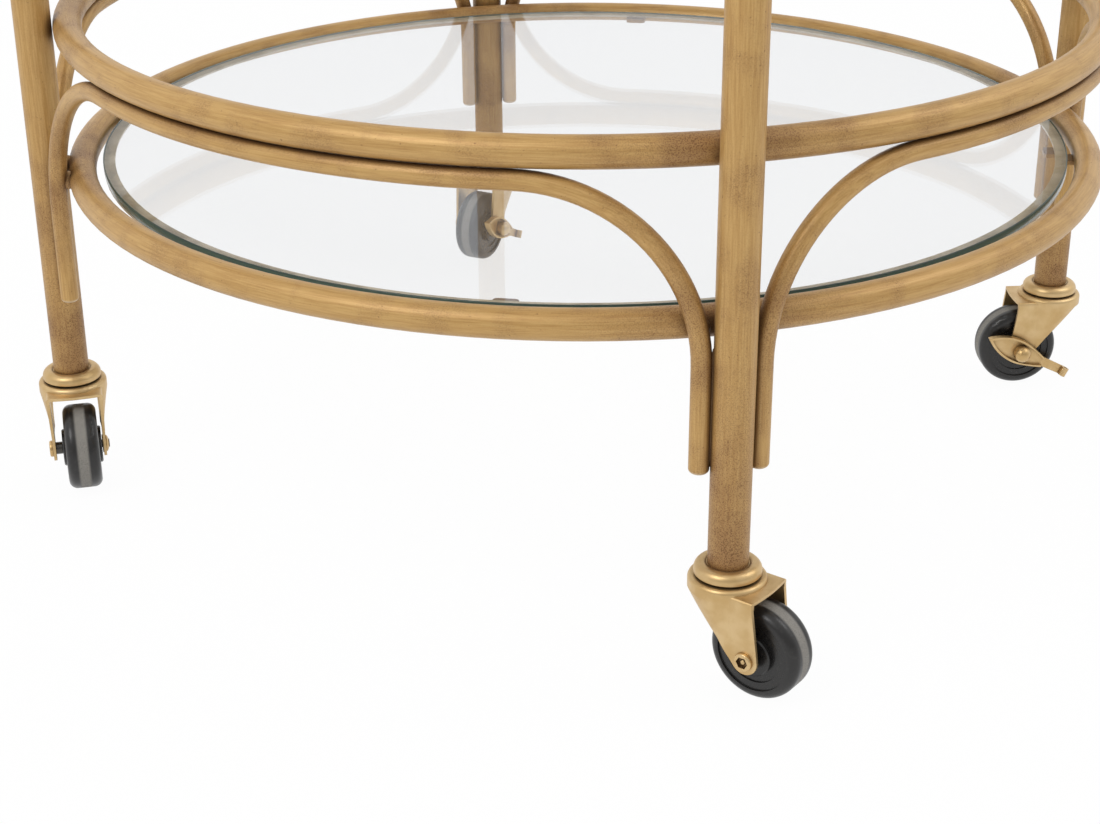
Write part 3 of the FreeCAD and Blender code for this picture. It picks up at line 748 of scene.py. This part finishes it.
def satin_brass(name, roughness=brass_roughness):
    """Brass plating, darkened in hollows with painted shade, with its edges softly rounded."""
    material, tree, output = new_material(name)
    place, x, y, z = place_at_rest(tree)
    clouds = noise(tree, place, plating_clouds, detail=3.0)
    grain = noise(tree, place, plating_grain, detail=3.0, roughness=0.7)
    # Painted shade: Ambient Occlusion darkens the hollows towards dull brass.
    shade_occlusion = add_node(tree, "ShaderNodeAmbientOcclusion", {"Distance": hollow_reach},
                      samples=crevice_samples)
    painted_crevice_shade = stretch(tree, shade_occlusion.outputs["AO"], *hollow_range)
    colour = blend_colours(tree, stretch(tree, clouds, *plating_range), brass, brass_pale)
    overlay = maths(tree, "MULTIPLY", stretch(tree, grain, *film_range), film_share)
    overlay = maths(tree, "MAXIMUM", overlay, maths(tree, "MULTIPLY", painted_crevice_shade, hollow_painted_shade))
    colour = blend_colours(tree, overlay, colour, brass_dull_and_shade)
    rough = maths(tree, "ADD", roughness, maths(tree, "MULTIPLY", clouds, cloud_roughness))
    bevel = add_node(tree, "ShaderNodeBevel", {"Radius": pressed_edge}, samples=4)
    bump = add_node(tree, "ShaderNodeBump", {
        "Height": grain, "Strength": grain_relief, "Distance": grain_depth, "Normal": bevel.outputs[0],
    })
    metal = add_node(tree, "ShaderNodeBsdfPrincipled", {
        "Base Color": colour, "Roughness": rough, "Metallic": brass_metallic, "Normal": bump.outputs[0],
    })
    tree.links.new(metal.outputs[0], output.inputs["Surface"])
    return material


brass_metal = satin_brass("satin_brass")
finish_node("caster_collars", brass_metal)
for leg in leg_names:
    finish_node("fork_" + leg, brass_metal)
for leg in ("right", "back"):
    finish_node("brake_lever_" + leg, brass_metal)
    finish_node("brake_nut_" + leg, brass_metal)


# ----------------------------------------- axles, stems, balls and bare steel
# Stems and plugs are zinc-plated steel with a dull bloom, balls bare steel. An
# axle is a rivet: brass-plated outside the fork's plates, and between them near
# black with painted shade.
zinc_grey = (0.52, 0.50, 0.46, 1)
zinc_roughness = 0.28
ball_grey = (0.60, 0.60, 0.60, 1)
ball_roughness = 0.10
bloom_grain = 260.0
bloom_range = (0.4, 0.8)
bloom_dulls = 0.55
bloom_roughness = 0.18
rivet_roughness = 0.22
# Painted shade: near black between the plates, and brown in the near head's hollow.
shade_between_plates = (0.085, 0.080, 0.072, 1)
recess_shade_brown = (0.090, 0.052, 0.024, 1)
between_plates = 0.0169
recess_radius = 0.0040
recess_floor = 0.0196
shade_up_wall = 0.0016
recess_shade_share = 0.85
wheel_aside = 0.002
pin_radius = 0.0019
pin_height = 0.0015
pin_sides = 20
pin_rows = 5
hinges = {hinge["name"]: hinge for hinge in frame["record"]["behaviour"]["joints"]}


def about_axle(tree, leg, x, y, z):
    """How far along a wheel's axle from its middle, and how far out from it."""
    middle = node_middle("tyre_" + leg)
    axis = Vector(hinges["wheel_" + leg + "_spin"]["axis"])
    away = [maths(tree, "SUBTRACT", value, middle[i]) for i, value in enumerate((x, y, z))]
    along = 0.0
    square = 0.0
    for i, value in enumerate(away):
        along = maths(tree, "ADD", along, maths(tree, "MULTIPLY", value, axis[i]))
        square = maths(tree, "ADD", square, maths(tree, "MULTIPLY", value, value))
    out = maths(tree, "SQRT", maths(tree, "SUBTRACT", square, maths(tree, "MULTIPLY", along, along)))
    return along, out


def axle_metal(leg):
    """The brass of the rivet's heads, with painted shade near black between the
    plates. The hollow of the near head is darkened brown with painted shade, and
    so is the rivet's middle behind it."""
    material = satin_brass("axle_metal_" + leg, rivet_roughness)
    tree = material.node_tree
    metal = [made for made in tree.nodes if made.type == "BSDF_PRINCIPLED"][0]
    plated = metal.inputs["Base Color"].links[0].from_socket
    x, y, z = place_at_rest(tree)[1:]
    along, out = about_axle(tree, leg, x, y, z)
    # Painted shade: near black between the fork's plates, and brown in the near head's hollow.
    from_plane = maths(tree, "ABSOLUTE", maths(tree, "ADD", along, wheel_aside))
    inside = maths(tree, "LESS_THAN", from_plane, between_plates)
    colour = blend_colours(tree, inside, plated, shade_between_plates)
    deep = maths(tree, "GREATER_THAN", along, -recess_floor - wheel_aside - shade_up_wall)
    in_recess = maths(tree, "LESS_THAN", out, recess_radius)
    recess_shade = maths(tree, "MULTIPLY", maths(tree, "MULTIPLY", in_recess, deep), recess_shade_share)
    tree.links.new(blend_colours(tree, recess_shade, colour, recess_shade_brown), metal.inputs["Base Color"])
    return material


def rivet_pin(leg, material):
    """The small domed pin in the hollow of a rivet's near head."""
    axis = Vector(hinges["wheel_" + leg + "_spin"]["axis"])
    middle = node_middle("tyre_" + leg) - axis * wheel_aside
    sideways = axis.cross(Vector((0, 0, 1)))
    base = middle - axis * recess_floor
    mesh = bpy.data.meshes.new("rivet_pin_" + leg)
    build = bmesh.new()
    rows = []
    for row in range(pin_rows):
        lift = math.pi / 2 * row / pin_rows
        out = pin_radius * math.cos(lift)
        centre = base - axis * pin_height * math.sin(lift)
        turns = [2 * math.pi * i / pin_sides for i in range(pin_sides)]
        ring = [centre + sideways * out * math.cos(a) + Vector((0, 0, out * math.sin(a))) for a in turns]
        rows.append([build.verts.new(corner) for corner in ring])
    crown = build.verts.new(base - axis * pin_height)
    for i in range(pin_sides):
        after = (i + 1) % pin_sides
        for one, other in zip(rows, rows[1:]):
            build.faces.new((one[i], one[after], other[after], other[i])).smooth = True
        build.faces.new((rows[-1][i], rows[-1][after], crown)).smooth = True
    build.faces.new(rows[0])
    bmesh.ops.recalc_face_normals(build, faces=build.faces)
    build.to_mesh(mesh)
    build.free()
    mesh.materials.append(material)
    pin = bpy.data.objects.new("rivet_pin_" + leg, mesh)
    bpy.context.collection.objects.link(pin)
    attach(pin, "swivel_" + leg)


def bright_steel(name, colour, roughness):
    """Bare or zinc-plated steel, dulled and roughened by a bloom."""
    material, tree, output = new_material(name)
    place, x, y, z = place_at_rest(tree)
    bloom = noise(tree, place, bloom_grain, detail=4.0, roughness=0.6)
    dull = tuple(c * bloom_dulls for c in colour[:3]) + (1,)
    tint = blend_colours(tree, stretch(tree, bloom, *bloom_range), colour, dull)
    rough = maths(tree, "ADD", roughness, maths(tree, "MULTIPLY", bloom, bloom_roughness))
    metal = add_node(tree, "ShaderNodeBsdfPrincipled", {
        "Base Color": tint, "Roughness": rough, "Metallic": 1.0,
    })
    tree.links.new(metal.outputs[0], output.inputs["Surface"])
    return material


zinc = bright_steel("zinc_steel", zinc_grey, zinc_roughness)
ball_steel = bright_steel("ball_steel", ball_grey, ball_roughness)
finish_node("caster_stems", zinc)
finish_node("caster_plugs", zinc)
for leg in leg_names:
    finish_node("ball_race_" + leg, ball_steel)
    finish_node("axle_" + leg, axle_metal(leg))
    rivet_pin(leg, brass_metal)


# ----------------------------------------------------- the wheels and bushes
# Black moulded wheels: a hard rubber tyre on a nylon core, with a plain bush
# pressed in. The middle of the tread is worn grey and gritty by rolling.
rubber_black = (0.013, 0.012, 0.0115, 1)
worn_grey = (0.260, 0.246, 0.222, 1)
dust_grey = (0.090, 0.084, 0.076, 1)
nylon_black = (0.012, 0.011, 0.0105, 1)
bush_grey = (0.40, 0.39, 0.37, 1)
bush_roughness = 0.35
dust_grain = 300.0
dust_range = (0.50, 0.80)
dust_on_black = 0.22
dust_roughness = 0.12
grit_grain = 1800.0
grit_range = (0.30, 0.55, 0.45, 0.95)
grit_relief = 0.10
grit_depth = 0.0003
tyre_roughness = 0.25
core_roughness = 0.22
worn_from = 0.0050
worn_full = 0.0026
worn_roughness = 0.35
tread_from = 0.0012
tread_full = 0.0004
tyre_radius = node_middle("tyre_front").z


def black_moulding(name, colour, roughness, leg, has_tread):
    """Dusty black rubber or nylon, with a worn band on a tread."""
    material, tree, output = new_material(name)
    place, x, y, z = place_at_rest(tree)
    dust = noise(tree, place, dust_grain, detail=4.0, roughness=0.65)
    grit = noise(tree, place, grit_grain, roughness=0.7)
    dusty = maths(tree, "MULTIPLY", stretch(tree, dust, *dust_range), dust_on_black)
    tint = blend_colours(tree, dusty, colour, dust_grey)
    rough = maths(tree, "ADD", roughness, maths(tree, "MULTIPLY", dust, dust_roughness))
    if has_tread:
        along, out = about_axle(tree, leg, x, y, z)
        near_middle = stretch(tree, maths(tree, "ABSOLUTE", along), worn_from, worn_full)
        on_tread = stretch(tree, out, tyre_radius - tread_from, tyre_radius - tread_full)
        band = maths(tree, "MULTIPLY", near_middle, on_tread)
        gritty = maths(tree, "MULTIPLY", band, stretch(tree, grit, *grit_range))
        tint = blend_colours(tree, gritty, tint, worn_grey)
        rough = maths(tree, "ADD", rough, maths(tree, "MULTIPLY", band, worn_roughness), clamp=True)
    bump = add_node(tree, "ShaderNodeBump", {
        "Height": grit, "Strength": grit_relief, "Distance": grit_depth,
    })
    moulded = add_node(tree, "ShaderNodeBsdfPrincipled", {
        "Base Color": tint, "Roughness": rough, "Normal": bump.outputs[0],
    })
    tree.links.new(moulded.outputs[0], output.inputs["Surface"])
    return material


bush_steel = bright_steel("bush_steel", bush_grey, bush_roughness)
for leg in leg_names:
    tyre_finish = black_moulding("tyre_rubber_" + leg, rubber_black, tyre_roughness, leg, True)
    core_finish = black_moulding("core_nylon_" + leg, nylon_black, core_roughness, leg, False)
    finish_node("tyre_" + leg, tyre_finish)
    finish_node("wheel_core_" + leg, core_finish)
    finish_node("wheel_bush_" + leg, bush_steel)
